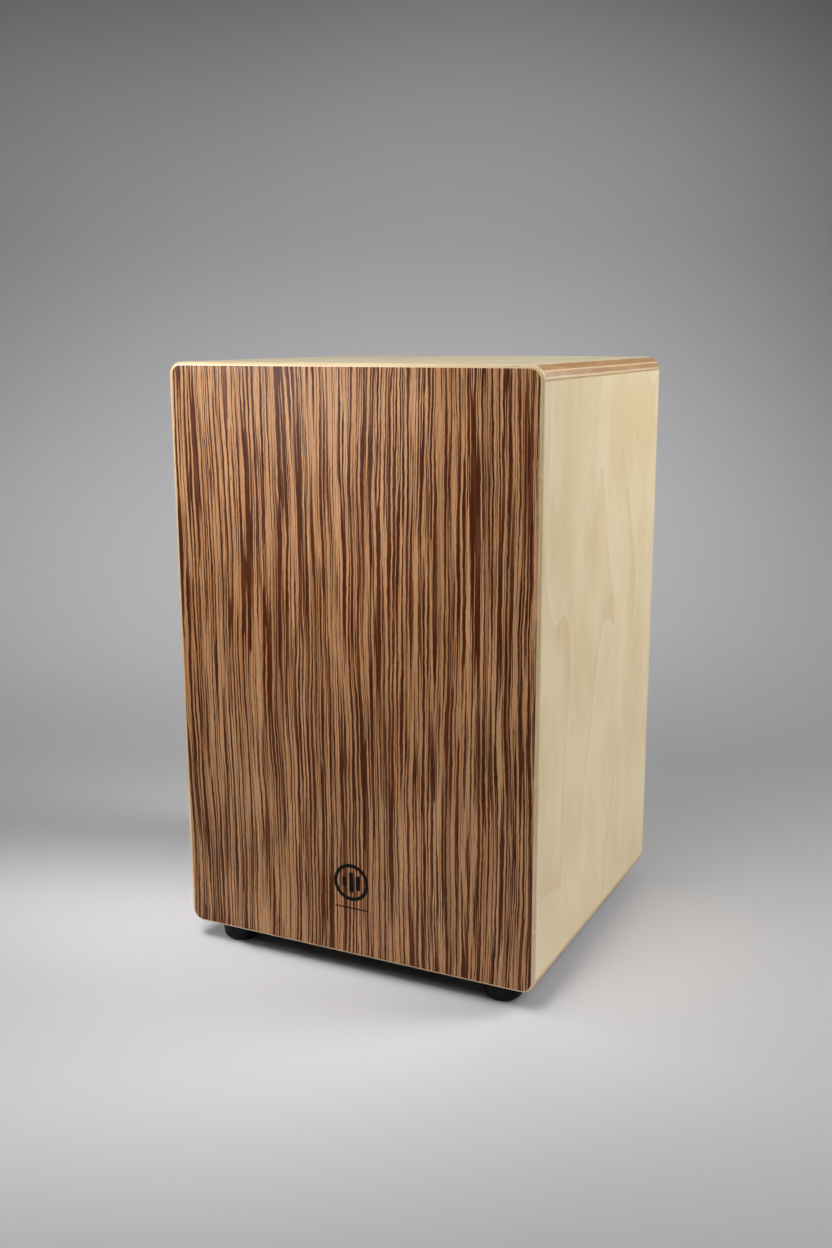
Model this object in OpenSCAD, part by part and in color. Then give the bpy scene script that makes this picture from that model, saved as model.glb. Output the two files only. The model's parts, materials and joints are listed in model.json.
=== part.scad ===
// Cajon: a six-sided plywood box drum with a thin striking plate at the front,
// a sound port at the back, rubber feet, and a rocking snare bar inside.
// The origin is on the floor under the middle of the box; the striking plate faces -Y and +Z is up.

/* [Body] */
// Width over the side panels
body_w = 320; // [280:1:360]
// Depth from the striking face to the rear edge
body_d = 290; // [270:1:340]
// Height of the wooden box without its feet
body_h = 480; // [430:1:520]
// Thickness of the top, bottom and side plywood
wall_t = 12; // [11.5:0.5:15]
// Radius of the four long edges and of the plates' corners
edge_r = 11; // [6:0.5:11.5]

/* [Striking plate] */
// Thickness of the birch core
core_t = 3; // [2.5:0.1:4]
// Thickness of the striped face veneer
veneer_t = 0.5; // [0.4:0.1:0.8]
// Width of the birch rim left bare round the veneer
rim_w = 2.8; // [1.5:0.1:4]
// Depth over which the rim slopes back
rim_d = 1; // [0.5:0.1:2]

/* [Back and sound port] */
// Thickness of the back panel
back_t = 6; // [4:0.5:8]
// Diameter of the sound port
port_d = 112; // [80:1:130]
// Height of the port's centre above the floor
port_z = 338; // [300:1:360]

/* [Feet] */
// Diameter of a foot where it meets the box
foot_d = 34; // [30:0.5:38]
// Height of a foot
foot_h = 18; // [17:0.5:22]
// Distance of a foot's centre from the side of the box
foot_inset_x = 35; // [25:1:60]
// Distance of a foot's centre from the front and the rear of the box
foot_inset_y = 25; // [24:1:60]

/* [Snare] */
// Side of the square snare bar
bar_s = 18; // [16:0.5:20]
// Height of the bar's pivot above the floor
pivot_z = 380; // [370:1:390]
// Lean of the snare wires towards the plate when they are on
snare_tilt = 14; // [10:0.5:16]
// Length of the wires above the pivot
wire_top = 76; // [60:1:80]
// Outer diameter of a coiled wire
wire_d = 1.6; // [1.2:0.1:2]
// Wires in one strip
wire_count = 12; // [8:1:14]
// Distance from the middle of the box to the middle of a strip
strip_x = 56; // [40:1:70]
// Length of the lever behind the pivot
lever_reach = 105; // [80:1:110]

/* [Hidden] */
$fn = 64;
eps = 0.01;

// Walls and plates
half_w = body_w / 2;
half_d = body_d / 2;
inner_x = half_w - wall_t;
floor_of_box = foot_h;
top_of_box = foot_h + body_h;
inner_z0 = floor_of_box + wall_t;
inner_z1 = top_of_box - wall_t;
wall_y0 = -half_d + veneer_t + core_t;
tongue_w = wall_t / 2;
tongue_h = 5;
tongue_room = 0.2;      // the groove is this much deeper than the tongue
rebate_w = wall_t / 2;

// Battens behind the striking plate
batten_w = 15;
batten_d = 12;

// Feet
foot_low_d = foot_d - 3;
foot_round = 5;
recess_r = 6.5;
recess_h = 9.2;
washer_r = 6;
washer_t = 1.2;
foot_screw_r = 2.25;
foot_screw_reach = 8;   // length of full shank in the wood
screw_tip = 2.5;

// Snare bar and its pivot
plate_t = 1;            // steel plate that holds a strip of wires
bar_chamfer = 1;
snare_gap = 0.4;        // between the wire ends and the striking plate
wire_y = -(bar_s / 2 + plate_t + wire_d / 2);
pivot_y = wall_y0 + snare_gap + wire_top * sin(snare_tilt)
    + (bar_s / 2 + plate_t + wire_d) * cos(snare_tilt);
block_t = 18;
block_face = inner_x - block_t;
block_h = 44;
block_front = 16;
flange_t = 1.5;
friction_t = 2;
friction_gap = 0.2;
bar_end = block_face - flange_t - friction_gap - friction_t;
pin_r = 3;
pin_in_bar = 14;
pin_room = 0.05;
bush_r = 4.5;
bush_l = 12;
flange_r = 7;

// Stops: the bar's rear face meets the upper pads when off, its lower corner the lower pads when on
stop_room = 0.3;
ledge_y = bar_s / 2 + 5;
ledge_d = 14;
ledge_l = 18;
off_pad_t = ledge_y - bar_s / 2 - stop_room;
on_pad_t = ledge_y - bar_s / 2 * (cos(snare_tilt) + sin(snare_tilt)) - stop_room;
pad_w = 12;
pad_h = 11;

// Strips of wires
wire_pitch = 4;
wire_start = -2;
strip_w = (wire_count - 1) * wire_pitch + wire_d;
snare_plate_w = strip_w + 5;
snare_plate_z0 = -bar_s / 2;
snare_plate_z1 = 5;
snare_screw_r = 1.25;
snare_screw_l = 10;
snare_screw_z = -5.6;
felt_h = 3.4;
solder_h = 4;
solder_t = 1.3;

// Lever
lever_r = 5;
lever_in_bar = 10;
knob_r = 15;
knob_flat = 2;
knob_bore = 10;

birch = "#dccba3";
spruce = "#e0c48f";
beech = "#c9a277";
steel = "#a9adb0";

// Box walls

// A rectangle in X and Z with round corners
module plate_outline(w, h, r) {
    difference() {
        square([w, h], center = true);
        for (sx = [-1, 1], sz = [-1, 1])
            scale([sx, sz])
                translate([w / 2 - r, h / 2 - r])
                    difference() {
                        square([r + 1, r + 1]);
                        circle(r);
                    }
    }
}

// Extrudes an outline drawn in X and Z from y0 to y1
module along_y(y0, y1) {
    translate([0, y1, 0])
        rotate([90, 0, 0])
            linear_extrude(y1 - y0)
                children();
}

// The top wall: round outer edges, grooves for the side panels, a rebate for the back
module end_wall() {
    difference() {
        along_y(wall_y0, half_d)
            difference() {
                translate([-half_w, inner_z1])
                    square([body_w, wall_t]);
                for (s = [-1, 1])
                    scale([s, 1])
                        translate([half_w - edge_r, top_of_box - edge_r])
                            difference() {
                                square([edge_r + 1, edge_r + 1]);
                                circle(edge_r);
                            }
            }
        for (s = [-1, 1])
            translate([s * (inner_x + tongue_w / 2), 0, inner_z1 + (tongue_h + tongue_room) / 2 - 1])
                cube([tongue_w, body_d * 2, tongue_h + tongue_room + 2], center = true);
        translate([-inner_x - rebate_w, half_d - back_t, inner_z1 - 1])
            cube([2 * (inner_x + rebate_w), back_t + 1, rebate_w + 1]);
    }
}

// Mirrors a shape of the top wall onto the bottom wall
module upside_down() {
    translate([0, 0, floor_of_box + top_of_box])
        mirror([0, 0, 1])
            children();
}

module top_panel() {
    color(birch) end_wall();
}

module bottom_panel() {
    color(birch)
        difference() {
            upside_down() end_wall();
            at_feet() foot_screw_shank();
        }
}

// The side wall at +X: tongues at both ends, a rebate for the back, two pilot holes
module side_wall() {
    difference() {
        union() {
            translate([inner_x, wall_y0, inner_z0])
                cube([wall_t, half_d - wall_y0, inner_z1 - inner_z0]);
            translate([inner_x, wall_y0, inner_z0 - tongue_h])
                cube([tongue_w, half_d - wall_y0, inner_z1 - inner_z0 + 2 * tongue_h]);
        }
        translate([inner_x - 1, half_d - back_t, 0])
            cube([rebate_w + 1, back_t + 1, top_of_box]);
        at_block_screws() block_screw();
    }
}

module right_side_panel() {
    color(birch) side_wall();
}

module left_side_panel() {
    color(birch) mirror([1, 0, 0]) side_wall();
}

module back_panel() {
    w = 2 * (inner_x + rebate_w);
    z0 = inner_z0 - rebate_w;
    color(birch)
        difference() {
            translate([-w / 2, half_d - back_t, z0])
                cube([w, back_t, inner_z1 + rebate_w - z0]);
            translate([0, half_d + 1, port_z])
                rotate([90, 0, 0])
                    cylinder(h = back_t + 2, d = port_d, $fn = 128);
        }
}

// Striking plate

// One flat slice of the plate's outline, pulled in by inset
module plate_slice(y, inset, t = eps) {
    translate([0, 0, floor_of_box + body_h / 2])
        along_y(y, y + t)
            plate_outline(body_w - 2 * inset, body_h - 2 * inset, edge_r - inset, $fn = 48);
}

module front_plate() {
    glue_y = -half_d + veneer_t;
    color(birch)
        hull() {
            plate_slice(glue_y, rim_w);
            plate_slice(glue_y + rim_d, 0, core_t - rim_d);
        }
}

module front_veneer() {
    color("#9a6b45")
        plate_slice(-half_d, rim_w, veneer_t);
}

module upright_batten(side) {
    color(spruce)
        translate([side > 0 ? inner_x - batten_w : -inner_x, wall_y0, inner_z0])
            cube([batten_w, batten_d, inner_z1 - inner_z0]);
}

module level_batten(z) {
    color(spruce)
        translate([-inner_x + batten_w, wall_y0, z])
            cube([2 * (inner_x - batten_w), batten_d, batten_w]);
}

module front_batten_left() { upright_batten(-1); }
module front_batten_right() { upright_batten(1); }
module front_batten_top() { level_batten(inner_z1 - batten_w); }
module front_batten_bottom() { level_batten(inner_z0); }

// Feet

function foot_x(side) = side * (half_w - foot_inset_x);
function foot_y(end) = end * (half_d - foot_inset_y);

module at_feet() {
    for (side = [-1, 1], end = [-1, 1])
        translate([foot_x(side), foot_y(end), 0])
            children();
}

// Points of a foot's outline, from the recess round the lower edge to the top
function foot_profile() = concat(
    [[foot_screw_r, foot_h], [foot_screw_r, recess_h], [recess_r, recess_h], [recess_r, 0]],
    [for (a = [-90:15:0])
        [foot_low_d / 2 - foot_round + foot_round * cos(a), foot_round + foot_round * sin(a)]],
    [[foot_d / 2, foot_h]]
);

module foot(side, end) {
    color("#15171a")
        translate([foot_x(side), foot_y(end), 0])
            rotate_extrude($fn = 96)
                polygon(foot_profile());
}

module foot_front_left() { foot(-1, -1); }
module foot_front_right() { foot(1, -1); }
module foot_rear_left() { foot(-1, 1); }
module foot_rear_right() { foot(1, 1); }

module foot_washers() {
    color(steel)
        at_feet()
            translate([0, 0, recess_h - washer_t])
                difference() {
                    cylinder(h = washer_t, r = washer_r);
                    translate([0, 0, -1])
                        cylinder(h = washer_t + 2, r = foot_screw_r + 0.25);
                }
}

// A cross recess that opens towards -Z at z = 0
module cross_recess(w, depth) {
    for (a = [0, 90])
        rotate([0, 0, a])
            translate([-w / 2, -w / 8, -1])
                cube([w, w / 4, depth + 1]);
}

module foot_screw_shank() {
    cylinder(h = foot_h + foot_screw_reach, r = foot_screw_r);
    translate([0, 0, foot_h + foot_screw_reach])
        cylinder(h = screw_tip, r1 = foot_screw_r, r2 = 0.3);
}

module foot_screws() {
    head_h = 2.6;
    head_z = recess_h - washer_t - head_h;
    color(steel)
        at_feet()
            difference() {
                union() {
                    intersection() {
                        foot_screw_shank();
                        translate([0, 0, head_z + 1])
                            cylinder(h = foot_h * 2, r = foot_screw_r * 2);
                    }
                    translate([0, 0, head_z])
                        cylinder(h = 1.2, r1 = 2.9, r2 = 4.1);
                    translate([0, 0, head_z + 1.2])
                        cylinder(h = head_h - 1.2, r = 4.1);
                }
                translate([0, 0, head_z])
                    cross_recess(4.4, 1.6);
            }
}

// Bearings of the snare bar

module at_both_ends() {
    children();
    mirror([1, 0, 0]) children();
}

// A countersunk screw whose head is flush with the block's inner face, pointing along +X
module block_screw() {
    head_h = 2.4;
    reach = block_t + 7;
    rotate([0, 90, 0]) {
        cylinder(h = head_h, r1 = 4, r2 = 2);
        cylinder(h = reach, r = 2);
        translate([0, 0, reach])
            cylinder(h = screw_tip, r1 = 2, r2 = 0.3);
    }
}

module at_block_screws() {
    for (s = [-1, 1])
        translate([block_face, pivot_y - 9, pivot_z + s * 15])
            children();
}

module bearing_block() {
    difference() {
        union() {
            translate([block_face, pivot_y - block_front, pivot_z - block_h / 2])
                cube([block_t, block_front + ledge_y + ledge_d, block_h]);
            translate([block_face - ledge_l, pivot_y + ledge_y, pivot_z - block_h / 2])
                cube([ledge_l + 1, ledge_d, block_h]);
        }
        translate([block_face - 1, pivot_y, pivot_z])
            rotate([0, 90, 0])
                cylinder(h = bush_l + 1, r = bush_r);
        at_block_screws() block_screw();
    }
}

module bearing_block_right() {
    color(beech) bearing_block();
}

module bearing_block_left() {
    color(beech) mirror([1, 0, 0]) bearing_block();
}

module block_screws() {
    color(steel)
        at_both_ends()
            at_block_screws()
                difference() {
                    block_screw();
                    rotate([0, 90, 0]) cross_recess(4, 1.6);
                }
}

module pivot_bush() {
    translate([block_face, pivot_y, pivot_z])
        rotate([0, 90, 0])
            difference() {
                union() {
                    cylinder(h = bush_l, r = bush_r);
                    translate([0, 0, -flange_t])
                        cylinder(h = flange_t, r = flange_r);
                }
                translate([0, 0, -flange_t - 1])
                    cylinder(h = flange_t + bush_l + 2, r = pin_r + pin_room);
            }
}

module pivot_bush_right() {
    color("#e8e6df") pivot_bush();
}

module pivot_bush_left() {
    color("#e8e6df") mirror([1, 0, 0]) pivot_bush();
}

module stop_felts() {
    color("#5c5a58")
        at_both_ends()
            for (s = [1, -1])
                let (t = s > 0 ? off_pad_t : on_pad_t)
                    translate([block_face - ledge_l + 2, pivot_y + ledge_y - t,
                        pivot_z + (s > 0 ? 1 : -1 - pad_h)])
                        cube([pad_w, t, pad_h]);
}

// Snare bar: these shapes are drawn with the bar upright about the X axis, then leaned forwards

module leaned() {
    translate([0, pivot_y, pivot_z])
        rotate([snare_tilt, 0, 0])
            children();
}

module bar_section() {
    h = bar_s / 2;
    c = h - bar_chamfer;
    polygon([[-c, -h], [c, -h], [h, -c], [h, c], [c, h], [-c, h], [-h, c], [-h, -c]]);
}

module at_strips() {
    for (s = [-1, 1])
        translate([s * strip_x, 0, 0])
            children();
}

module at_snare_screws() {
    for (s = [-1, 1])
        translate([s * (snare_plate_w / 2 - 6), -bar_s / 2, snare_screw_z])
            children();
}

module snare_bar() {
    color(beech)
        leaned()
            difference() {
                rotate([90, 0, 90])
                    translate([0, 0, -bar_end])
                        linear_extrude(2 * bar_end)
                            bar_section();
                for (s = [-1, 1])
                    translate([s * (bar_end - pin_in_bar / 2 + 1), 0, 0])
                        rotate([0, 90, 0])
                            cylinder(h = pin_in_bar + 2, r = pin_r, center = true);
                translate([0, bar_s / 2 - lever_in_bar, 0])
                    rotate([-90, 0, 0])
                        cylinder(h = lever_in_bar + 1, r = lever_r);
                at_strips()
                    at_snare_screws()
                        translate([0, -1, 0])
                            rotate([-90, 0, 0])
                                cylinder(h = snare_screw_l + 1, r = snare_screw_r);
            }
}

module pivot_pins() {
    color(steel)
        at_both_ends()
            translate([bar_end - pin_in_bar, pivot_y, pivot_z])
                rotate([0, 90, 0])
                    cylinder(h = pin_in_bar + block_face + bush_l - 1 - bar_end, r = pin_r);
}

module friction_washers() {
    color("#5c5a58")
        at_both_ends()
            translate([bar_end, pivot_y, pivot_z])
                rotate([0, 90, 0])
                    difference() {
                        cylinder(h = friction_t, r = bar_s / 2 - 1);
                        translate([0, 0, -1])
                            cylinder(h = friction_t + 2, r = pin_r);
                    }
}

module snare_plate(side) {
    color(steel)
        leaned()
            translate([side * strip_x, 0, 0])
                difference() {
                    translate([-snare_plate_w / 2, -bar_s / 2 - plate_t, snare_plate_z0])
                        cube([snare_plate_w, plate_t, snare_plate_z1 - snare_plate_z0]);
                    at_snare_screws()
                        translate([0, -plate_t - 1, 0])
                            rotate([-90, 0, 0])
                                cylinder(h = plate_t + 2, r = snare_screw_r + 0.2);
                }
}

module snare_plate_left() { snare_plate(-1); }
module snare_plate_right() { snare_plate(1); }

// One strip: straight rods for the coiled wires, joined by the solder along their lower ends
module snare_wires(side) {
    color("#c3c6c8")
        leaned()
            translate([side * strip_x, 0, 0])
                union() {
                    for (i = [0:wire_count - 1])
                        translate([(i - (wire_count - 1) / 2) * wire_pitch, wire_y, wire_start])
                            cylinder(h = wire_top - wire_start, r = wire_d / 2, $fn = 24);
                    translate([-strip_w / 2 - 0.5, -bar_s / 2 - plate_t - solder_t, wire_start + 1])
                        cube([strip_w + 1, solder_t, solder_h]);
                }
}

module snare_wires_left() { snare_wires(-1); }
module snare_wires_right() { snare_wires(1); }

module snare_screws() {
    color(steel)
        leaned()
            at_strips()
                at_snare_screws()
                    rotate([-90, 0, 0])
                        difference() {
                            union() {
                                translate([0, 0, -plate_t - 1.8])
                                    cylinder(h = 1.8, r1 = 2, r2 = 2.8);
                                translate([0, 0, -plate_t])
                                    cylinder(h = plate_t + snare_screw_l, r = snare_screw_r);
                            }
                            translate([0, 0, -plate_t - 1.8])
                                cross_recess(2.6, 1.1);
                        }
}

module damper_felt() {
    color("#5c5a58")
        leaned()
            translate([-bar_end + 4, -bar_s / 2 - plate_t, snare_plate_z1])
                cube([2 * bar_end - 8, plate_t, felt_h - bar_chamfer + 0.4]);
}

module lever_rod() {
    color(beech)
        leaned()
            translate([0, bar_s / 2 - lever_in_bar, 0])
                rotate([-90, 0, 0])
                    cylinder(h = lever_reach - bar_s / 2 + lever_in_bar, r = lever_r);
}

// Points of the knob's outline, from the mouth of its bore round the ball to the bore's end
function knob_profile() =
    let (
        flat_y = lever_reach - knob_bore,
        centre = flat_y + knob_r - knob_flat,
        start = -asin(1 - knob_flat / knob_r)
    )
    concat(
        [[lever_r, flat_y]],
        [for (i = [0:24])
            let (a = start + (90 - start) * i / 24)
            [knob_r * cos(a), centre + knob_r * sin(a)]],
        [[0, lever_reach], [lever_r, lever_reach]]
    );

module lever_knob() {
    color(beech)
        leaned()
            rotate([-90, 0, 0])
                rotate_extrude($fn = 96)
                    polygon(knob_profile());
}

top_panel();
bottom_panel();
left_side_panel();
right_side_panel();
back_panel();
front_plate();
front_veneer();
front_batten_left();
front_batten_right();
front_batten_top();
front_batten_bottom();
foot_front_left();
foot_front_right();
foot_rear_left();
foot_rear_right();
foot_washers();
foot_screws();
bearing_block_left();
bearing_block_right();
block_screws();
pivot_bush_left();
pivot_bush_right();
stop_felts();
snare_bar();
pivot_pins();
friction_washers();
snare_plate_left();
snare_plate_right();
snare_wires_left();
snare_wires_right();
snare_screws();
damper_felt();
lever_rod();
lever_knob();
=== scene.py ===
"""Looks of a cajon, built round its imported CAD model.

Lengths are in metres. Names that end in _mm and the sizes of noise and grain are in millimetres.
"""

import json
import math

import bpy
from mathutils import Matrix, Vector, noise


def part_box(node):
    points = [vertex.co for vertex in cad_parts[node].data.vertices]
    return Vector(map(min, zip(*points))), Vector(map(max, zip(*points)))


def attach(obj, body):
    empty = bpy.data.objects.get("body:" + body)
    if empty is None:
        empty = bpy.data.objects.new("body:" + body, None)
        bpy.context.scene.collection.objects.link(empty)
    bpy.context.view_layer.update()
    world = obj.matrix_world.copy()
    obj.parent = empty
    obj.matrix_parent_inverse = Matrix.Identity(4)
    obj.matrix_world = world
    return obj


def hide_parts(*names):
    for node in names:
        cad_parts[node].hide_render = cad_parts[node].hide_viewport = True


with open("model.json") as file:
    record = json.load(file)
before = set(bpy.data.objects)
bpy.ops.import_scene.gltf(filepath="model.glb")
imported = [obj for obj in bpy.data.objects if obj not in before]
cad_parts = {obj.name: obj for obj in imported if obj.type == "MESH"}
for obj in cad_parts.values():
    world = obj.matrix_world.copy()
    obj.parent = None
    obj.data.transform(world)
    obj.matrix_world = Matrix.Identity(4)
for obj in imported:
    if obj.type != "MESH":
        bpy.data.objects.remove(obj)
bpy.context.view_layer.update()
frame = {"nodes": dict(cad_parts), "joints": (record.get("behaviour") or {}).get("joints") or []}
nodes = frame["nodes"]

MM = 0.001
SMOOTH_UNDER = math.radians(38)
EASE_OVER = math.radians(40)
WELD_UNDER = 1e-6
ROUND_STEPS = 96

# The box, as the CAD has it
plate_low, plate_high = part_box("front_plate")
veneer_low, veneer_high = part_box("front_veneer")
top_low, top_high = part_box("top_panel")
bottom_low, bottom_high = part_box("bottom_panel")
back_low, back_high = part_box("back_panel")
right_low, right_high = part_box("right_side_panel")
left_low, left_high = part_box("left_side_panel")

# The striking plate: its rim slopes back, and the veneer reaches a little lower than in the CAD
PLATE_CORNER = 11 * MM
RIM_DEPTH = 1.0 * MM
VENEER_REACH = 1.2 * MM
MARK_HEIGHT = 64 * MM

# The joint of the snare bar: at rest its wires lean towards the striking plate
snare_joint = frame["joints"][0]
PIVOT = Vector(snare_joint["pos_m"])
LEAN = Matrix.Rotation(math.radians(snare_joint["range_deg"][1]), 4, "X")

# The snare unit in the bar's own axes: X along the bar, Y away from the striking plate, Z up the wires
WIRE_COUNT = 12
WIRE_PITCH = 4 * MM
WIRE_LOW, WIRE_HIGH = -2 * MM, 76 * MM
SNARE_PLATE_Y = -10 * MM
WIRE_Y = SNARE_PLATE_Y - 0.8 * MM
COIL_RADIUS = 0.62 * MM
COIL_WIRE = 0.17 * MM
COIL_TURN = 1.5 * MM
SOLDER_Z = 1 * MM
SOLDER_HALF_HEIGHT = 2 * MM
SOLDER_PROUD = 1.75 * MM
LEVER_REACH = 105 * MM

# Depths at which the plies begin
WALL_PLIES_MM = [0.0, 0.7, 2.2, 3.0, 5.6, 6.4, 9.0, 9.8, 11.3]
TOP_PLIES_MM = [0.0, 0.6, 1.3, 3.2, 6.6, 7.6, 11.5]
BOTTOM_PLIES_MM = [0.0, 0.5, 4.4, 5.4, 7.6]
BACK_PLIES_MM = [0.0, 0.7, 2.23, 3.77, 5.3]
PLATE_PLIES_MM = [0.0, 1.4, 2.0]


# Colours

def srgb(red, green, blue):
    """Linear colour of an 8-bit screen colour."""
    def linear(level):
        share = level / 255
        return share / 12.92 if level <= 10 else ((share + 0.055) / 1.055) ** 2.4

    return tuple(linear(level) for level in (red, green, blue))


VENEER_PALE, VENEER_TAN = srgb(219, 167, 120), srgb(202, 149, 102)
VENEER_FIBRE, VENEER_BAND, VENEER_PORE = srgb(144, 88, 49), srgb(104, 66, 50), srgb(66, 34, 18)
STRIPE_BROWN, STRIPE_DARK = srgb(102, 44, 6), srgb(58, 22, 2)
BIRCH_PALE, BIRCH_WARM, BIRCH_FIBRE = srgb(239, 221, 182), srgb(229, 207, 162), srgb(206, 174, 132)
BIRCH_LINE_PALE, BIRCH_LINE_BROWN = srgb(246, 232, 204), srgb(206, 162, 112)
BIRCH_PIN, BIRCH_STREAK = srgb(168, 126, 84), srgb(150, 112, 72)
PLY_PALE, PLY_DARK = srgb(229, 198, 154), srgb(176, 134, 86)
PLY_FIBRE, PLY_BLEACHED = srgb(136, 98, 62), srgb(224, 190, 142)
PLATE_PLY_PALE, PLATE_PLY_DARK = srgb(240, 222, 192), srgb(176, 136, 98)
# Painted shade: a dark colour for the bottom panel's low face, to deepen the shade in the gap under the
# box
UNDERSIDE_PAINTED_SHADE = srgb(44, 38, 34)
RUBBER_BLACK, RUBBER_WORN = srgb(9, 10, 12), srgb(30, 31, 33)
NYLON_WHITE, NYLON_DULL = srgb(236, 233, 224), srgb(222, 217, 204)
INK_BLACK, INK_THIN = srgb(8, 6, 5), srgb(30, 16, 9)
PAPER_PALE, PAPER_DULL = srgb(206, 206, 209), srgb(202, 202, 205)
# Painted cool shade: multiplies the top panel's birch greyer and cooler than the same birch on the sides
TOP_PAINTED_SHADE = (0.90, 0.94, 1.01)
PLATE_TINT = (1.0, 0.93, 0.86)
SPRUCE = {
    "pale": srgb(226, 200, 156), "dark": srgb(196, 156, 104),
    "ring_mm": 2.4, "ring_share": 0.7, "fleck": 0.0,
}
BEECH = {
    "pale": srgb(206, 162, 118), "dark": srgb(178, 128, 86),
    "ring_mm": 5.0, "ring_share": 0.35, "fleck": 0.5,
}


# Node graphs

class Graph:
    """Writes the nodes of one material. Each method adds a node and gives back its output."""

    def __init__(self, name):
        self.material = bpy.data.materials.new(name)
        self.material.use_nodes = True
        self.tree = self.material.node_tree
        self.tree.nodes.clear()
        place = self.add("ShaderNodeTexCoord").outputs["Object"]
        self.mm = self.vector("MULTIPLY", place, (1000, 1000, 1000))
        parts = self.add("ShaderNodeSeparateXYZ", {0: self.mm})
        self.axes = {"x": parts.outputs[0], "y": parts.outputs[1], "z": parts.outputs[2]}

    def add(self, kind, inputs=None, **settings):
        node = self.tree.nodes.new(kind)
        for key, value in settings.items():
            setattr(node, key, value)
        for key, value in (inputs or {}).items():
            socket = node.inputs[key]
            if isinstance(value, bpy.types.NodeSocket):
                self.tree.links.new(value, socket)
            else:
                socket.default_value = value
        return node

    def vector(self, operation, a, b):
        return self.add("ShaderNodeVectorMath", {0: a, 1: b}, operation=operation).outputs[0]

    def join(self, x, y, z):
        return self.add("ShaderNodeCombineXYZ", {0: x, 1: y, 2: z}).outputs[0]

    def math(self, operation, a, b=0.0, c=0.0):
        return self.add("ShaderNodeMath", {0: a, 1: b, 2: c}, operation=operation).outputs[0]

    def noise(self, place, size, detail=2.0, rough=0.5, seed=0.0):
        """Soft noise from 0 to 1, whose blobs measure about size along x, y and z."""
        scaled = self.vector("DIVIDE", place, size)
        moved = self.vector("ADD", scaled, (seed * 7.31, seed * 3.17, seed * 5.93))
        inputs = {"Vector": moved, "Scale": 1.0, "Detail": detail, "Roughness": rough}
        return self.add("ShaderNodeTexNoise", inputs).outputs[0]

    def swing(self, value, reach):
        """Turns 0 to 1 into a shift to either side, from -reach / 2 to reach / 2."""
        return self.math("MULTIPLY_ADD", value, reach, -reach / 2)

    def rise(self, value, low, high, to_low=0.0, to_high=1.0):
        """Goes smoothly from to_low to to_high as value goes from low to high."""
        inputs = {0: value, 1: low, 2: high, 3: to_low, 4: to_high}
        return self.add("ShaderNodeMapRange", inputs, interpolation_type="SMOOTHSTEP").outputs[0]

    def mix(self, share, a, b, blend="MIX"):
        inputs = {0: share, 6: with_alpha(a), 7: with_alpha(b)}
        return self.add("ShaderNodeMix", inputs, data_type="RGBA", blend_type=blend).outputs[2]

    def bands(self, value, stops):
        """A stepped ramp: each stop is (where it starts, its level)."""
        node = self.add("ShaderNodeValToRGB", {0: value})
        ramp = node.color_ramp
        ramp.interpolation = "CONSTANT"
        while len(ramp.elements) < len(stops):
            ramp.elements.new(1.0)
        for element, (start, level) in zip(ramp.elements, stops):
            element.position = start
            element.color = (level, level, level, 1)
        return node.outputs[0]

    def bump(self, height, depth_mm, strength=1.0):
        inputs = {"Height": height, "Distance": depth_mm * MM, "Strength": strength}
        return self.add("ShaderNodeBump", inputs).outputs[0]

    def surface(self, base, roughness, normal=None, **fixed):
        """Ends the graph in a Principled surface. fixed holds sockets that are the same all over."""
        inputs = {"Base Color": with_alpha(base), "Roughness": roughness}
        inputs.update({key.replace("_", " "): value for key, value in fixed.items()})
        if normal is not None:
            inputs["Normal"] = normal
        shader = self.add("ShaderNodeBsdfPrincipled", inputs)
        self.add("ShaderNodeOutputMaterial", {"Surface": shader.outputs[0]})
        return self.material


def with_alpha(value):
    """An RGB triple gets its alpha; a socket stays as it is."""
    if isinstance(value, bpy.types.NodeSocket):
        return value
    return (*value, 1.0)


def along(size_long, size_thick, axis):
    """Size of a grain feature that is size_long along one axis and size_thick along the others."""
    return tuple(size_long if a == axis else size_thick for a in "xyz")


def third_axis(first, second):
    return ({"x", "y", "z"} - {first, second}).pop()


# Woods

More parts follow.
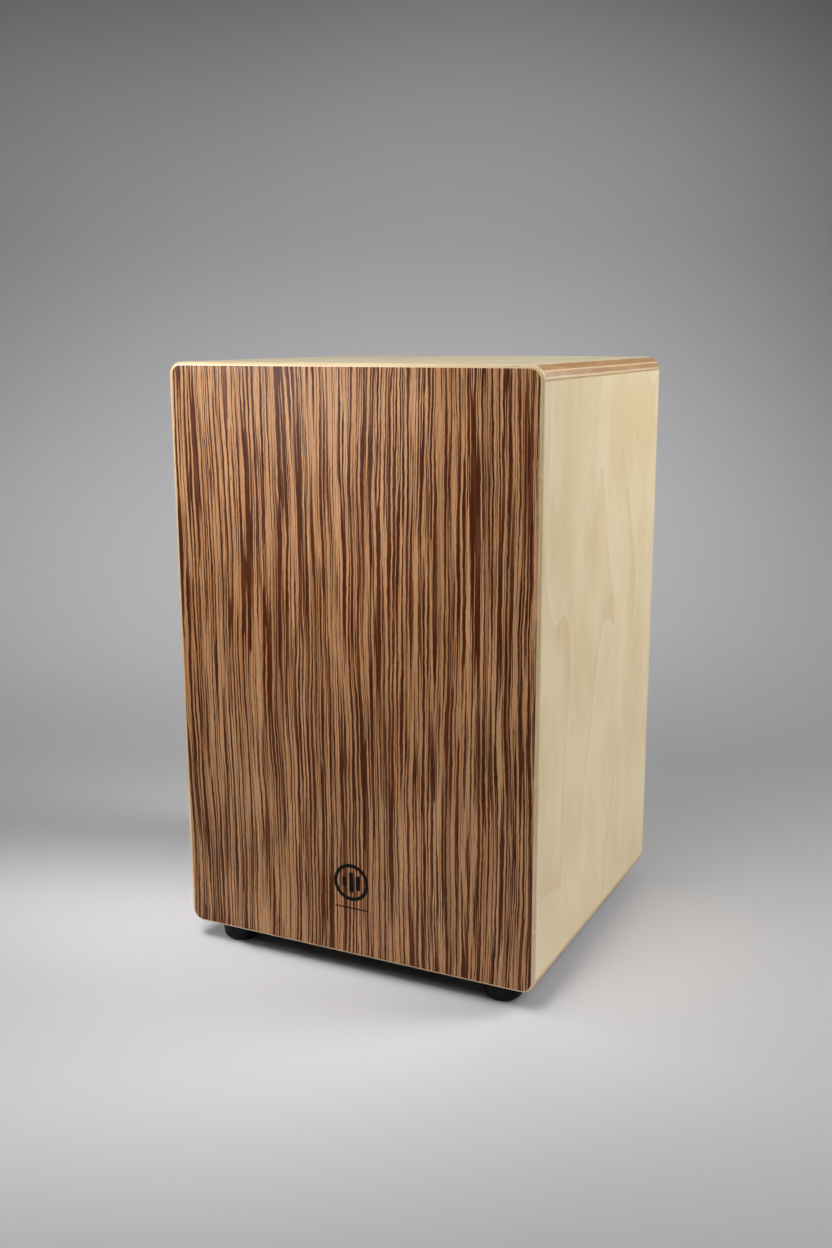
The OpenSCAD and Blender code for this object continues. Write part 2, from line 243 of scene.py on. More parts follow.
def striped_veneer():
    """Dark, slightly wavy, forking stripes that run upright on tan, with fine fibres and pores."""
    g = Graph("striped_veneer")
    wander = g.swing(g.noise(g.mm, (80, 400, 300), detail=1.0, seed=1), 14.0)
    ripple = g.swing(g.noise(g.mm, (24, 400, 62), detail=1.0, seed=2), 3.4)
    tremble = g.swing(g.noise(g.mm, (5, 400, 11), detail=2.0, rough=0.6, seed=3), 1.5)
    bend = g.math("ADD", g.math("ADD", wander, ripple), tremble)
    place = g.join(g.math("ADD", g.axes["x"], bend), 0.0, g.axes["z"])

    # Stretched noise cut at a level makes stripes that swell, fork and end. The level drifts over
    # the sheet, and the fibres fray the stripes' edges
    fibre = g.noise(place, (0.6, 1, 34), detail=3.0, rough=0.65, seed=9)
    fray = g.swing(fibre, 0.09)
    drift = g.swing(g.noise(place, (22, 1, 200), detail=1.0, seed=4), 0.09)
    coarse = g.noise(place, (1.8, 1, 210), detail=1.0, rough=0.4, seed=5)
    thin = g.noise(place, (0.9, 1, 105), detail=1.0, rough=0.4, seed=6)
    stripe = g.rise(g.math("ADD", g.math("ADD", coarse, drift), fray), 0.519, 0.537)
    hair = g.rise(g.math("ADD", g.math("ADD", thin, drift), fray), 0.561, 0.589)
    line = g.math("MAXIMUM", stripe, hair)
    strength = g.rise(g.noise(place, (4, 1, 80), seed=7), 0.28, 0.52, 0.86, 1.0)
    band = g.rise(g.noise(place, (8, 1, 420), detail=1.0, seed=8), 0.62, 0.68, 0.0, 0.40)

    patch = g.noise(place, (20, 1, 240), seed=10)
    tan = g.mix(g.rise(patch, 0.32, 0.68), VENEER_PALE, VENEER_TAN)
    tan = g.mix(g.rise(fibre, 0.30, 0.75, 0.0, 0.40), tan, VENEER_FIBRE)
    tan = g.mix(band, tan, VENEER_BAND)
    dark = g.mix(g.rise(fibre, 0.3, 0.7), STRIPE_BROWN, STRIPE_DARK)
    wood = g.mix(g.math("MULTIPLY", line, strength), tan, dark)

    pore = g.rise(g.noise(place, (0.5, 1, 9), detail=1.0, seed=11), 0.64, 0.72)
    wood = g.mix(g.math("MULTIPLY", pore, 0.45), wood, VENEER_PORE)
    height = g.math("SUBTRACT", g.math("MULTIPLY", fibre, 0.4), pore)
    roughness = g.rise(fibre, 0.2, 0.8, 0.36, 0.48)
    return g.surface(wood, roughness, g.bump(height, 0.05, 0.35), Specular_IOR_Level=0.16)


def birch_figure(g, normal, grain):
    """Colour and fibre of rotary-cut birch: soft blotches, faint curved ring lines and brown marks."""
    across = third_axis(normal, grain)
    sway = g.math("MULTIPLY", g.noise(g.mm, along(150, 70, grain), detail=2.0, seed=21), 34.0)
    shift = g.join(*(sway if axis == across else 0.0 for axis in "xyz"))
    place = g.vector("ADD", g.mm, shift)

    # The rings run along the grain, and lean and bend where the log was uneven
    field = g.noise(place, along(380, 120, grain), detail=1.0, rough=0.4, seed=22)
    field = g.math("MULTIPLY_ADD", field, 4.5, g.math("MULTIPLY", g.axes[across], 0.011))
    ring = g.math("FRACT", field)
    fibre = g.noise(place, along(45, 0.9, grain), detail=3.0, seed=23)
    blotch = g.noise(place, along(85, 46, grain), detail=3.0, rough=0.5, seed=24)
    wood = g.mix(g.rise(blotch, 0.3, 0.7), BIRCH_PALE, BIRCH_WARM)

    # A ring starts in a pale line and ends in a brown one, and both fade in and out along it
    clear = g.rise(g.noise(place, along(110, 60, grain), seed=28), 0.35, 0.65, 0.25, 1.0)
    pale_line = g.math("MULTIPLY", g.rise(ring, 0.0, 0.18, 0.28, 0.0), clear)
    brown_line = g.math("MULTIPLY", g.rise(ring, 0.80, 0.99, 0.0, 0.22), clear)
    wood = g.mix(pale_line, wood, BIRCH_LINE_PALE)
    wood = g.mix(brown_line, wood, BIRCH_LINE_BROWN)
    wood = g.mix(g.rise(fibre, 0.3, 0.75, 0.0, 0.07), wood, BIRCH_FIBRE)

    pin = g.rise(g.noise(place, along(10, 0.9, grain), detail=1.0, seed=25), 0.72, 0.78)
    mark = g.rise(g.noise(place, along(24, 2.2, grain), detail=1.0, seed=26), 0.68, 0.76)
    marked = g.rise(g.noise(place, along(60, 30, grain), seed=27), 0.56, 0.66)
    streak = g.math("MULTIPLY", mark, marked)
    wood = g.mix(g.math("MULTIPLY", pin, 0.22), wood, BIRCH_PIN)
    wood = g.mix(g.math("MULTIPLY", streak, 0.45), wood, BIRCH_STREAK)
    return wood, fibre


def plywood(name, normal, grain, low, high, starts_mm, pale=PLY_PALE, dark=PLY_DARK,
            tone_or_painted_shade=None, coat=0.2, painted_shade_underside=None):
    """Plywood cut from the solid: faces show their figure, edges show their plies.

    low and high are where the sheet's faces stand along its normal. starts_mm are the depths at
    which the plies begin, counted from low. The last argument colours the low face dark:
    painted shade that deepens the gap under the box.
    """
    g = Graph(name)
    low_mm, thick_mm = low / MM, (high - low) / MM
    cross = third_axis(normal, grain)
    wobble = g.swing(g.noise(g.mm, along(60, 40, normal), seed=31), 0.36)
    depth = g.math("ADD", g.math("SUBTRACT", g.axes[normal], low_mm), wobble)
    share = g.math("DIVIDE", depth, thick_mm)
    turned = g.bands(share, [(start / thick_mm, i % 2) for i, start in enumerate(starts_mm)])

    with_grain = g.noise(g.mm, along(30, 0.45, grain), detail=3.0, seed=32)
    end_grain = g.noise(g.mm, along(30, 0.45, cross), detail=3.0, seed=33)
    bleach = g.noise(g.mm, (38, 38, 3), detail=2.0, seed=34)
    fibre = g.mix(turned, with_grain, end_grain)
    edge = g.mix(turned, pale, dark)
    edge = g.mix(g.rise(fibre, 0.3, 0.75, 0.0, 0.35), edge, PLY_FIBRE)
    edge = g.mix(g.rise(bleach, 0.45, 0.75, 0.0, 0.30), edge, PLY_BLEACHED)

    face, face_fibre = birch_figure(g, normal, grain)
    # The tint multiplies the face's colour: on the plate it is the core's own warmer tone, on the top
    # panel it is painted cool shade
    if tone_or_painted_shade:
        face = g.mix(1.0, face, tone_or_painted_shade, "MULTIPLY")
    off_middle = g.math("ABSOLUTE", g.math("SUBTRACT", depth, thick_mm / 2))
    on_face = g.math("GREATER_THAN", off_middle, thick_mm / 2 - starts_mm[1])
    wood = g.mix(on_face, edge, face)
    # Painted shade: the low face is coloured dark to deepen the shade in the gap under the box
    if painted_shade_underside:
        wood = g.mix(g.math("LESS_THAN", g.axes[normal], low_mm + 0.15), wood, painted_shade_underside)
    relief = g.mix(on_face, fibre, face_fibre)
    roughness = g.rise(relief, 0.2, 0.8, 0.40, 0.52)
    return g.surface(wood, roughness, g.bump(relief, 0.04, 0.25), Coat_Weight=coat, Coat_Roughness=0.28)


def solid_wood(name, grain, pale, dark, ring_mm, ring_share, fleck):
    """Planed solid wood with growth rings, fibre and, in beech, short flecks."""
    g = Graph(name)
    sway = g.noise(g.mm, along(150, 24, grain), detail=1.0, seed=41)
    radius = g.math("ADD", g.axes["x" if grain != "x" else "z"], g.math("MULTIPLY", sway, 9.0))
    lean = g.math("MULTIPLY", g.axes["y" if grain != "y" else "z"], 0.35)
    ring = g.math("FRACT", g.math("DIVIDE", g.math("ADD", radius, lean), ring_mm))
    fibre = g.noise(g.mm, along(18, 0.35, grain), detail=3.0, seed=42)
    wood = g.mix(g.rise(ring, 0.35, 1.0, 0.0, ring_share), pale, dark)
    wood = g.mix(g.rise(fibre, 0.3, 0.75, 0.0, 0.35), wood, dark)
    mark = g.rise(g.noise(g.mm, along(2.6, 0.4, grain), detail=1.0, seed=43), 0.62, 0.70)
    wood = g.mix(g.math("MULTIPLY", mark, fleck), wood, tuple(level * 0.45 for level in dark))
    roughness = g.rise(fibre, 0.2, 0.8, 0.50, 0.66)
    return g.surface(wood, roughness, g.bump(fibre, 0.06, 0.4))


# Other materials

def rubber():
    """Black rubber, worn greyer towards the floor."""
    g = Graph("foot_rubber")
    grain = g.noise(g.mm, (0.5, 0.5, 0.5), detail=3.0, seed=51)
    scuff = g.noise(g.mm, (7, 7, 4), detail=4.0, rough=0.65, seed=52)
    low = g.rise(g.axes["z"], 0.2, 3.5, 1.0, 0.0)
    worn = g.math("MULTIPLY", g.rise(scuff, 0.45, 0.7), g.math("MULTIPLY_ADD", low, 0.5, 0.12))
    base = g.mix(worn, RUBBER_BLACK, RUBBER_WORN)
    roughness = g.rise(scuff, 0.3, 0.7, 0.5, 0.7)
    return g.surface(base, roughness, g.bump(grain, 0.05, 0.5), Specular_IOR_Level=0.22)


def steel(name, tone, rough_low, rough_high, brushed=None):
    """Bare steel. brushed names the axis of its brush lines."""
    g = Graph(name)
    grain_size = along(6, 0.12, brushed) if brushed else (0.6, 0.6, 0.6)
    grain = g.noise(g.mm, grain_size, detail=3.0, seed=61)
    cloud = g.noise(g.mm, (5, 5, 5), detail=3.0, seed=62)
    base = g.mix(g.rise(cloud, 0.35, 0.7), tone, tuple(level * 0.78 for level in tone))
    wear = g.math("MULTIPLY_ADD", grain, 0.6, g.math("MULTIPLY", cloud, 0.4))
    roughness = g.rise(wear, 0.3, 0.7, rough_low, rough_high)
    return g.surface(base, roughness, g.bump(grain, 0.02, 0.3), Metallic=1.0)


def felt(name, pale, dark):
    g = Graph(name)
    tuft = g.noise(g.mm, (0.45, 0.45, 0.45), detail=4.0, rough=0.7, seed=71)
    cloud = g.noise(g.mm, (4, 4, 4), seed=72)
    base = g.mix(g.rise(tuft, 0.3, 0.7), dark, pale)
    base = g.mix(g.rise(cloud, 0.4, 0.7, 0.0, 0.3), base, dark)
    return g.surface(base, 0.95, g.bump(tuft, 0.25, 0.9), Sheen_Weight=0.4, Sheen_Roughness=0.5)


def nylon():
    g = Graph("bush_nylon")
    cloud = g.noise(g.mm, (3, 3, 3), detail=2.0, seed=81)
    base = g.mix(g.rise(cloud, 0.3, 0.7), NYLON_WHITE, NYLON_DULL)
    roughness = g.rise(cloud, 0.3, 0.7, 0.32, 0.45)
    return g.surface(base, roughness, g.bump(cloud, 0.02, 0.3), Subsurface_Weight=0.1)


def ink():
    """Dark print on the veneer, a little uneven where the grain shows through."""
    g = Graph("print_ink")
    grain = g.noise(g.mm, (0.4, 1, 12), detail=3.0, seed=91)
    base = g.mix(g.rise(grain, 0.45, 0.8, 0.0, 0.5), INK_BLACK, INK_THIN)
    roughness = g.rise(grain, 0.3, 0.7, 0.38, 0.5)
    return g.surface(base, roughness, g.bump(grain, 0.02, 0.3), Specular_IOR_Level=0.15)


def backdrop_paper():
    g = Graph("backdrop_paper")
    cloud = g.noise(g.mm, (900, 900, 900), detail=1.0, seed=95)
    return g.surface(g.mix(cloud, PAPER_PALE, PAPER_DULL), 0.85)


# Mesh code

def new_mesh(name, points, faces, material):
    """A mesh object at the origin, smooth but for its real edges."""
    mesh = bpy.data.meshes.new(name)
    mesh.from_pydata([tuple(p) for p in points], [], faces)
    mesh.validate()
    mesh.materials.append(material)
    mesh.shade_smooth()
    mesh.set_sharp_from_angle(angle=SMOOTH_UNDER)
    piece = bpy.data.objects.new(name, mesh)
    bpy.context.scene.collection.objects.link(piece)
    return piece


def add_piece(name, shape, material, body, replaces=()):
    """Makes a piece from (points, faces), sets it on its body and hides the CAD parts it replaces."""
    piece = new_mesh(name, *shape, material)
    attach(piece, body)
    if replaces:
        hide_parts(*replaces)
    return piece


def merged(*shapes):
    """Several (points, faces) as one."""
    points, faces = [], []
    for more_points, more_faces in shapes:
        start = len(points)
        points += more_points
        faces += [tuple(i + start for i in face) for face in more_faces]
    return points, faces


def skin(rings, capped=True):
    """Joins closed rings of equal length with quads. Each ring is a list of points."""
    count = len(rings[0])
    points = [p for ring in rings for p in ring]
    faces = []
    for r in range(len(rings) - 1):
        for i in range(count):
            j = (i + 1) % count
            faces.append((r * count + i, r * count + j, (r + 1) * count + j, (r + 1) * count + i))
    if capped:
        faces.append(tuple(reversed(range(count))))
        faces.append(tuple((len(rings) - 1) * count + i for i in range(count)))
    return points, faces


def round_rectangle(width, height, radius, steps):
    """Points (x, z) round a rectangle with round corners, centred, anticlockwise."""
    points = []
    for corner, (sx, sz) in enumerate(((1, 1), (-1, 1), (-1, -1), (1, -1))):
        for i in range(steps + 1):
            angle = math.pi / 2 * (corner + i / steps)
            points.append((sx * (width / 2 - radius) + radius * math.cos(angle),
                           sz * (height / 2 - radius) + radius * math.sin(angle)))
    return points


def plate_rings(profile, reach=0.0):
    """Rings of the striking plate from (y, inset) pairs, front first. reach carries them further down."""
    width = plate_high.x - plate_low.x
    height = plate_high.z - plate_low.z + reach
    middle = (plate_high.z + plate_low.z - reach) / 2
    rings = []
    for y, inset in profile:
        outline = round_rectangle(width - 2 * inset, height - 2 * inset, PLATE_CORNER - inset, 20)
        rings.append([Vector((x, y, middle + z)) for x, z in outline])
    return rings


def lathe(profile, place):
    """Turns a closed outline of (radius, height) points about Z, and puts each point at place()."""
    points = []
    for i in range(ROUND_STEPS):
        angle = 2 * math.pi * i / ROUND_STEPS
        points += [place(Vector((r * math.cos(angle), r * math.sin(angle), h))) for r, h in profile]
    count = len(profile)
    faces = []
    for i in range(ROUND_STEPS):
        j = (i + 1) % ROUND_STEPS
        for k in range(count):
            m = (k + 1) % count
            faces.append((i * count + k, j * count + k, j * count + m, i * count + m))
    return points, faces


def arc(centre, radius, start, end, steps):
    """Points on an arc, in degrees."""
    angles = [math.radians(start + (end - start) * i / steps) for i in range(steps + 1)]
    return [(centre[0] + radius * math.cos(a), centre[1] + radius * math.sin(a)) for a in angles]


def leaned(point):
    """From the snare bar's own axes, upright about its pivot, to where it is at rest."""
    return PIVOT + LEAN @ Vector(point)


def coil(x):
    """One coiled wire of the snare, which stands along Z."""
    turn_steps, wire_sides = 10, 5
    steps = int((WIRE_HIGH - WIRE_LOW) / COIL_TURN * turn_steps)
    up = Vector((0, 0, 1))
    rings = []
    for i in range(steps + 1):
        angle = 2 * math.pi * i / turn_steps
        height = WIRE_LOW + (WIRE_HIGH - WIRE_LOW) * i / steps
        out = Vector((math.cos(angle), math.sin(angle), 0))
        centre = Vector((x, WIRE_Y, height)) + COIL_RADIUS * out
        around = [2 * math.pi * k / wire_sides for k in range(wire_sides)]
        rings.append([leaned(centre + COIL_WIRE * (out * math.cos(t) + up * math.sin(t))) for t in around])
    return skin(rings)


def solder_run(low_x, high_x, first_wire):
    """The solder on the lower ends of the wires: it swells round each wire and tapers at both ends."""
    steps, sides = WIRE_COUNT * 12, 16
    rings = []
    for i in range(steps + 1):
        x = low_x + (high_x - low_x) * i / steps
        wire = (x - first_wire) / WIRE_PITCH
        off_wire = abs(wire - round(wire))
        swell = 0.75 + 0.25 * math.cos(math.pi * min(off_wire * 2, 1))
        taper = min(1.0, 0.35 + min(i, steps - i) / 4)
        ring = []
        for k in range(sides):
            turn = math.pi * k / (sides - 1)
            proud = SOLDER_PROUD * swell * taper * math.sin(turn)
            drop = SOLDER_HALF_HEIGHT * taper * math.cos(turn)
            ring.append(leaned((x, SNARE_PLATE_Y - proud, SOLDER_Z - drop)))
        rings.append(ring)
    return skin(rings)


def felt_block(low, high, place, seed):
    """A block of felt: soft edges and a slightly uneven surface."""
    cell, fuzz, lump = 0.6 * MM, 0.08 * MM, 1.1 * MM
    size = [high[i] - low[i] for i in range(3)]
    cells = [max(2, round(s / cell)) for s in size]
    soft = min(size) * 0.28
    index, points, faces = {}, [], []

    def point(key):
        if key not in index:
            at = Vector(tuple(low[a] + size[a] * key[a] / cells[a] for a in range(3)))
            inner = Vector(tuple(min(max(at[a], low[a] + soft), high[a] - soft) for a in range(3)))
            out = (at - inner).normalized()
            bump = noise.noise((inner + out * soft) / lump + Vector((seed, 0, 0)))
            index[key] = len(points)
            points.append(place(inner + out * (soft + (bump - 1.0) * fuzz)))
        return index[key]

    for axis in range(3):
        u, v = [a for a in range(3) if a != axis]
        for side in (0, cells[axis]):
            outward = (side > 0) == (axis != 1)
            for a in range(cells[u]):
                for b in range(cells[v]):
                    corners = []
                    for du, dv in ((0, 0), (1, 0), (1, 1), (0, 1)):
                        key = [0, 0, 0]
                        key[axis], key[u], key[v] = side, a + du, b + dv
                        corners.append(point(tuple(key)))
                    faces.append(tuple(corners if outward else reversed(corners)))
    return points, faces


# Camera, floor and light

CAMERA_YAW = math.radians(26.11)
CAMERA_DOWN = math.radians(12.59)
CAMERA_ROLL = math.radians(-0.244)
CAMERA_LENS_MM = 37.863
CAMERA_SENSOR_MM = 36
CAMERA_PLACE = Vector((0.4882, veneer_low.y - 0.8740, plate_low.z + 0.5032))

# The studio lies square to the camera: AWAY points from it over the floor, ASIDE to its right
AWAY = Vector((-math.sin(CAMERA_YAW), math.cos(CAMERA_YAW), 0))
ASIDE = Vector((math.cos(CAMERA_YAW), math.sin(CAMERA_YAW), 0))

# Each light is its name, place, aim, size, spread in degrees and watts. Places and aims are metres
# (aside, away, up) from the middle of the floor under the box
LIGHTS = [
    ("sheen_left", (-1.18, -0.62, 0.65), (-0.18, -0.1, 0.52), (0.3, 0.3), 30, 0.37),
    ("front_near", (-0.35, -0.62, 1.3), (0, -0.15, 0.35), (0.3, 0.3), 80, 0.6),
    ("front_high", (-0.5, -1.2, 1.5), (0, -0.1, 0.3), (0.6, 0.6), 80, 0.85),
    ("front_low", (-0.34, -0.82, 1.35), (-0.08, -0.2, 0.05), (0.25, 0.25), 26, 0.155),
    ("gap_left", (-1.25, 0.4, 0.5), (-0.21, -0.04, 0), (0.15, 0.15), 18, 0.115),
    ("top_left", (-0.6, -0.3, 1.6), (-0.3, -0.1, 0.1), (0.5, 0.5), 100, 0.82),
    ("top_front", (-0.1, -0.2, 1.8), (0, -0.1, 0), (0.6, 0.6), 90, 0.29),
    ("side_right", (1.1, -0.1, 1.1), (0.1, 0, 0.45), (0.5, 0.5), 70, 1.55),
    ("side_high", (1.3, 0.0, 1.5), (0.1, 0, 0.3), (0.6, 0.6), 80, 1.0),
    ("side_low", (1.8, 0.3, 0.8), (0, 0, 0.3), (0.9, 0.9), 120, 4.2),
    ("floor_left", (-0.65, -0.5, 1.6), (-0.4, -0.12, 0), (0.4, 0.4), 30, 0.45),
    ("floor_right", (0.6, -0.9, 1.6), (0.45, -0.4, 0), (0.5, 0.5), 35, 0.16),
    ("wall_left", (-0.3, 0.4, 2.0), (-0.35, 1.3, 0.2), (1.6, 0.3), 60, 3.2),
    ("wall_right", (0.6, 0.4, 1.9), (0.5, 1.3, 0.2), (1.0, 0.3), 60, 0.95),
]
WORLD_LIGHT = 0.02


def studio(aside, away, up):
    return ASIDE * aside + AWAY * away + Vector((0, 0, up))


def make_camera():
    forward = AWAY * math.cos(CAMERA_DOWN) - Vector((0, 0, math.sin(CAMERA_DOWN)))
    roll = Matrix.Rotation(-CAMERA_ROLL, 3, forward)
    right, up = roll @ ASIDE, roll @ ASIDE.cross(forward)
    turn = Matrix((right, up, -forward)).transposed()
    camera = bpy.data.objects.new("camera", bpy.data.cameras.new("camera"))
    camera.data.lens = CAMERA_LENS_MM
    camera.data.sensor_width = CAMERA_SENSOR_MM
    camera.matrix_world = Matrix.Translation(CAMERA_PLACE) @ turn.to_4x4()
    bpy.context.scene.collection.objects.link(camera)
    bpy.context.scene.camera = camera


def make_backdrop(paper):
    """A floor of pale paper that curves up into a wall behind the object."""
    half_width, near, bend_from, bend, height = 5.0, -4.0, 0.75, 0.7, 4.5
    path = [(near, 0.0), (bend_from, 0.0)]
    path += arc((bend_from, bend), bend, -90, 0, 32)[1:]
    path.append((bend_from + bend, height))
    points = [studio(side, away, up) for side in (-half_width, half_width) for away, up in path]
    count = len(path)
    faces = [(i, count + i, count + i + 1, i + 1) for i in range(count - 1)]
    new_mesh("backdrop", points, faces, paper)


def area_light(name, place, aim, size, spread, watts):
    data = bpy.data.lights.new(name, "AREA")
    data.shape = "RECTANGLE"
    data.size, data.size_y = size
    data.spread = math.radians(spread)
    data.energy = watts
    light = bpy.data.objects.new(name, data)
    light.location = studio(*place)
    light.rotation_euler = (studio(*aim) - studio(*place)).to_track_quat("-Z", "Y").to_euler()
    bpy.context.scene.collection.objects.link(light)


def make_world():
    world = bpy.data.worlds.new("studio")
    world.use_nodes = True
    background = world.node_tree.nodes["Background"]
    background.inputs["Color"].default_value = (1, 1, 1, 1)
    background.inputs["Strength"].default_value = WORLD_LIGHT
    bpy.context.scene.world = world
    bpy.context.scene.view_settings.view_transform = "Standard"


# Pieces

def striking_plate(core, veneer):
    """The birch core, whose pale rim slopes back round the striped sheet glued to its middle."""
    front, glue, rear = veneer_low.y, plate_low.y, plate_high.y
    rim = plate_high.x - veneer_high.x
    edge = 0.3 * MM
    # The slope as (share of its depth, share of the rim still to go), then the straight edge
    slope = ((0.0, 1.0), (0.16, 0.72), (0.36, 0.42), (0.62, 0.17), (1.0, 0.03))
    profile = [(glue + RIM_DEPTH * share, rim * inset) for share, inset in slope]
    profile += [(glue + RIM_DEPTH * 1.5, 0), (rear - edge, 0), (rear, edge)]
    shape = skin(plate_rings(profile)[::-1])
    add_piece("striking_plate_core", shape, core, "box", ["front_plate"])

    # The veneer's sanded edge as (depth, inset) from its front corner
    sanded = ((0, 0.35 * MM), (0.08 * MM, 0.1 * MM), (0.25 * MM, 0), (glue - front, 0))
    profile = [(front + depth, rim + inset) for depth, inset in sanded]
    shape = skin(plate_rings(profile, VENEER_REACH)[::-1])
    add_piece("striking_plate_veneer", shape, veneer, "box", ["front_veneer"])


def printed_mark(material):
    """A plain ring round three upright bars, with a short line under it, printed low on the plate."""
    face, front = veneer_low.y, veneer_low.y - 0.12 * MM
    centre_z = plate_low.z + MARK_HEIGHT
    outer, inner = 16 * MM, 12.9 * MM

    def ring(radius, y):
        outline = arc((0, centre_z), radius, 0, 360, ROUND_STEPS)[:-1]
        return [Vector((x, y, z)) for x, z in outline]

    rim = [ring(outer, face), ring(outer, front), ring(inner, front), ring(inner, face)]
    shapes = [skin(rim, capped=False)]
    # Each bar is (x, z from the centre, width, height), in millimetres
    bars_mm = [(-6.2, 0, 3.9, 9.5), (0, 0, 3.9, 18.0), (6.2, 0, 3.9, 13.0), (0, -22.5, 30.0, 1.1)]
    for bar in bars_mm:
        x, z, width, height = (value * MM for value in bar)
        outline = round_rectangle(width, height, min(width, height) * 0.49, 8)
        shapes.append(skin([[Vector((x + u, y, centre_z + z + v)) for u, v in outline]
                            for y in (face, front)]))
    add_piece("printed_mark", merged(*shapes), material, "box")


def rubber_foot(node, material):
    """A tapered foot with a round lower edge, a recess for the screw's head and its hole."""
    low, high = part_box(node)
    centre = (low + high) / 2
    height = high.z - low.z
    top_r = (high.x - low.x) / 2
    low_r, low_round = top_r - 1.5 * MM, 5 * MM
    lip, draft, lip_drop = 0.6 * MM, 0.1 * MM, 0.8 * MM
    hole_r, recess_r, recess_h, soft = 2.25 * MM, 6.5 * MM, 9.2 * MM, 0.5 * MM
    profile = [(hole_r, height), (hole_r, recess_h), (recess_r - soft, recess_h)]
    profile += arc((recess_r - soft, recess_h - soft), soft, 90, 0, 4)[1:]
    profile += arc((recess_r + soft, soft), soft, 180, 270, 4)
    profile += arc((low_r - low_round, low_round), low_round, -90, 0, 14)
    profile.append((top_r - draft, height - lip_drop))
    profile += arc((top_r - lip, height - lip), lip, 0, 90, 4)[1:]
    shape = lathe(profile, lambda p: p + Vector((centre.x, centre.y, 0)))
    add_piece("rubber_" + node, shape, material, "box", [node])


def ball_knob(material):
    """The turned ball on the lever, with two fine grooves round it."""
    radius, flat, bore_r, bore_depth = 15 * MM, 2 * MM, 5 * MM, 10 * MM
    groove, groove_steps, steps = 0.35 * MM, (15, 18), 48
    axis_r = 0.02 * MM
    flat_y = LEVER_REACH - bore_depth
    centre = flat_y + radius - flat
    start = -math.asin(1 - flat / radius)
    profile = [(bore_r, flat_y)]
    for i in range(steps + 1):
        angle = start + (math.pi / 2 - start) * i / steps
        r = radius - (groove if i in groove_steps else 0)
        profile.append((max(r * math.cos(angle), axis_r), centre + r * math.sin(angle)))
    profile += [(axis_r, LEVER_REACH), (bore_r, LEVER_REACH)]
    shape = lathe(profile, lambda p: leaned((p.x, p.z, -p.y)))
    add_piece("turned_knob", shape, material, "snare_unit", ["lever_knob"])


def snare_strip(side, wire_metal, solder_metal):
    """Twelve coiled wires whose lower ends are held in a run of solder on the plate."""
    low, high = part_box(f"snare_wires_{side}")
    first = (low.x + high.x) / 2 - (WIRE_COUNT - 1) * WIRE_PITCH / 2
    coils = merged(*(coil(first + i * WIRE_PITCH) for i in range(WIRE_COUNT)))
    add_piece(f"snare_coils_{side}", coils, wire_metal, "snare_unit",
              [f"snare_wires_{side}"])
    run = solder_run(low.x, high.x, first)
    add_piece(f"snare_solder_{side}", run, solder_metal, "snare_unit",
              [f"snare_wires_{side}"])


def damper_strip(material):
    """The strip of felt on the bar's front face, just above the steel plates."""
    low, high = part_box("snare_bar")
    half = (high.x - low.x) / 2 - 4 * MM
    near, far = SNARE_PLATE_Y, SNARE_PLATE_Y + 1 * MM
    strip = felt_block((-half, near, 5 * MM), (half, far, 7.8 * MM), leaned, 3)
    add_piece("felt_strip", strip, material, "snare_unit", ["damper_felt"])


def stop_pads(material):
    """The felt pads that stop the bar, two at each end: the upper ones are the thicker."""
    low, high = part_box("stop_felts")
    middle_z, half_gap = (low.z + high.z) / 2, 1 * MM
    width = 12 * MM
    upper_thick = high.y - low.y
    lower_thick = upper_thick * 0.594
    pads = ((middle_z + half_gap, high.z, upper_thick), (low.z, middle_z - half_gap, lower_thick))
    shapes = []
    for x in (low.x, high.x - width):
        for z0, z1, thick in pads:
            seed = x * 1000 + z0 * 500
            shapes.append(felt_block((x, high.y - thick, z0), (x + width, high.y, z1), Vector, seed))
    add_piece("felt_stops", merged(*shapes), material, "box", ["stop_felts"])


def soften(node, width_mm, segments=2):
    """Eases the sharp edges of a CAD node that stays."""
    piece = nodes[node]
    weld = piece.modifiers.new("weld", "WELD")
    weld.merge_threshold = WELD_UNDER
    bevel = piece.modifiers.new("ease", "BEVEL")
    bevel.width = width_mm * MM
    bevel.segments = segments
    bevel.limit_method = "ANGLE"
    bevel.angle_limit = EASE_OVER


def finish_node(node, material):
    """Gives a CAD node that stays its material."""
    for slot in nodes[node].material_slots:
        slot.material = material


# The whole scene

make_camera()
make_backdrop(backdrop_paper())
for light in LIGHTS:
    area_light(*light)
make_world()

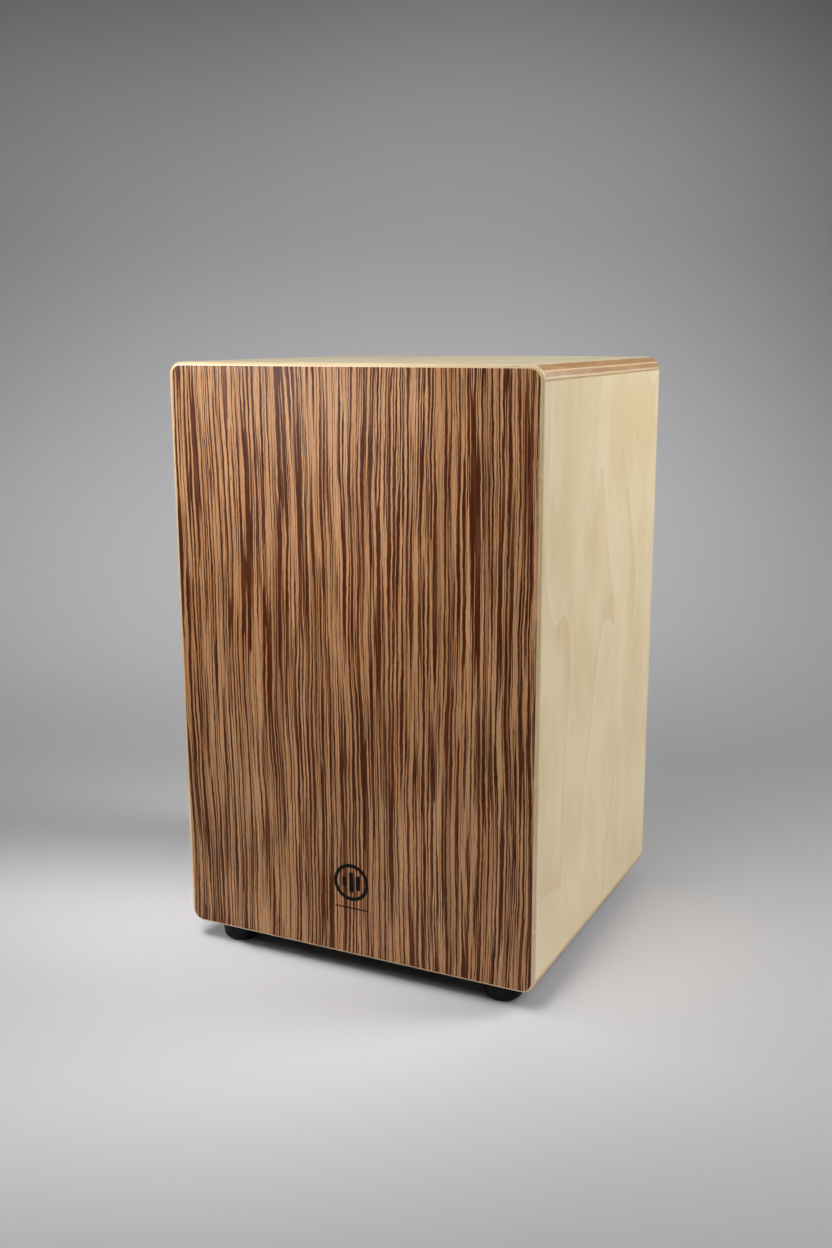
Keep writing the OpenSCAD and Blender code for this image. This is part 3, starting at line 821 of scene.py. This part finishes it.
spruce_upright = solid_wood("spruce_upright", "z", **SPRUCE)
spruce_level = solid_wood("spruce_level", "x", **SPRUCE)
beech_x = solid_wood("beech_along_x", "x", **BEECH)
beech_y = solid_wood("beech_along_y", "y", **BEECH)
beech_z = solid_wood("beech_along_z", "z", **BEECH)
black_rubber = rubber()
zinc = steel("zinc_screw", srgb(190, 192, 194), 0.28, 0.48)
plate_steel = steel("plate_steel", srgb(196, 198, 200), 0.22, 0.42, "x")
wire_steel = steel("wire_steel", srgb(214, 216, 218), 0.18, 0.34)
solder = steel("solder", srgb(176, 178, 180), 0.35, 0.55)
grey_felt = felt("grey_felt", srgb(124, 120, 116), srgb(76, 73, 70))
fibre_red = felt("hard_fibre", srgb(120, 62, 44), srgb(88, 42, 30))
white_nylon = nylon()

looks = {
    # The top panel's tint is painted cool shade
    "top_panel": plywood("top_ply", "z", "y", top_low.z, top_high.z, TOP_PLIES_MM, tone_or_painted_shade=TOP_PAINTED_SHADE),
    # The bottom panel's low face gets painted shade, to deepen the gap under the box
    "bottom_panel": plywood("bottom_ply", "z", "y", bottom_low.z, bottom_high.z, BOTTOM_PLIES_MM,
                            painted_shade_underside=UNDERSIDE_PAINTED_SHADE),
    "right_side_panel": plywood("right_ply", "x", "z", right_low.x, right_high.x, WALL_PLIES_MM),
    "left_side_panel": plywood("left_ply", "x", "z", left_low.x, left_high.x, WALL_PLIES_MM),
    "back_panel": plywood("back_ply", "y", "z", back_low.y, back_high.y, BACK_PLIES_MM),
    "front_batten_left": spruce_upright, "front_batten_right": spruce_upright,
    "front_batten_top": spruce_level, "front_batten_bottom": spruce_level,
    "bearing_block_left": beech_z, "bearing_block_right": beech_z,
    "snare_bar": beech_x, "lever_rod": beech_y,
    "foot_washers": zinc, "foot_screws": zinc, "block_screws": zinc,
    "snare_screws": zinc, "pivot_pins": zinc,
    "snare_plate_left": plate_steel, "snare_plate_right": plate_steel,
    "pivot_bush_left": white_nylon, "pivot_bush_right": white_nylon,
    "friction_washers": fibre_red,
}
for node, look in looks.items():
    finish_node(node, look)

for node in ("top_panel", "bottom_panel", "left_side_panel", "right_side_panel"):
    soften(node, 0.4)
soften("back_panel", 0.7, segments=3)
for node in ("front_batten_left", "front_batten_right", "front_batten_top", "front_batten_bottom"):
    soften(node, 0.8)
for node in ("bearing_block_left", "bearing_block_right"):
    soften(node, 0.6)

plate_ply = plywood("plate_ply", "y", "x", plate_low.y, plate_high.y, PLATE_PLIES_MM,
                    pale=PLATE_PLY_PALE, dark=PLATE_PLY_DARK, tone_or_painted_shade=PLATE_TINT, coat=0.6)
striking_plate(plate_ply, striped_veneer())
printed_mark(ink())
for end in ("front", "rear"):
    for side in ("left", "right"):
        rubber_foot(f"foot_{end}_{side}", black_rubber)
ball_knob(beech_y)
for side in ("left", "right"):
    snare_strip(side, wire_steel, solder)
damper_strip(grey_felt)
stop_pads(grey_felt)
